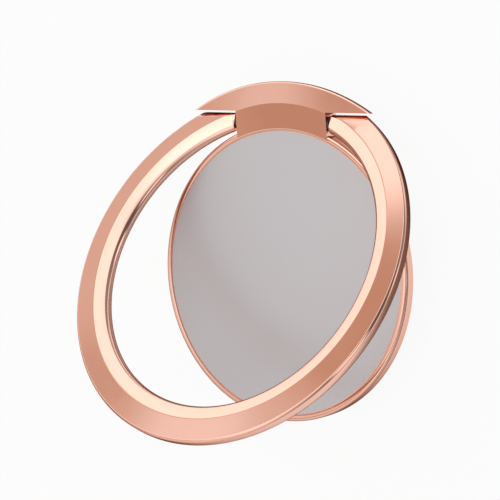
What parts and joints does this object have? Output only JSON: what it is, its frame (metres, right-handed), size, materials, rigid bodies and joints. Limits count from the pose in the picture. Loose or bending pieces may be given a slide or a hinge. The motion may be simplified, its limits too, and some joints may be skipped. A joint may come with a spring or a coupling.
{
  "type": "phone ring holder",
  "caption": "Slim swivelling phone ring holder: a hinged metal finger ring that folds flat around a round turntable with a polished face, on an adhesive base.",
  "frame": {"origin": "centre of the adhesive face that sticks to the phone", "axes": "+X along the ring's hinge, +Y from the centre towards the hinge, +Z out of the phone's back"},
  "size_m": [0.042, 0.0381, 0.0226],
  "materials": {
    "rose_gold": "satin",
    "polished_face": "polished",
    "plain_steel": "satin",
    "nylon": "satin",
    "foam_adhesive": "matte",
    "film_adhesive": "satin"
  },
  "bodies": {
    "base": {"adhesive_pad": "foam_adhesive", "base_plate": "rose_gold", "slip_washer": "nylon"},
    "turntable": {"turntable": "rose_gold", "pivot_rivet": "plain_steel", "retaining_washer": "plain_steel", "face_film": "film_adhesive", "face_disc": "polished_face", "hinge_washer_left": "nylon", "hinge_washer_right": "nylon"},
    "ring": {"finger_ring": "rose_gold", "hinge_pin_left": "plain_steel", "hinge_pin_right": "plain_steel"}
  },
  "joints": [
    {"name": "swivel", "type": "hinge", "parent": "base", "child": "turntable", "pos_m": [0, 0, 0.003], "axis": [0, 0, 1], "continuous": true},
    {"name": "ring_hinge", "type": "hinge", "parent": "turntable", "child": "ring", "pos_m": [0, 0.0168, 0.0031], "axis": [-1, 0, 0], "range_deg": [-29.5, 60.5]}
  ]
}
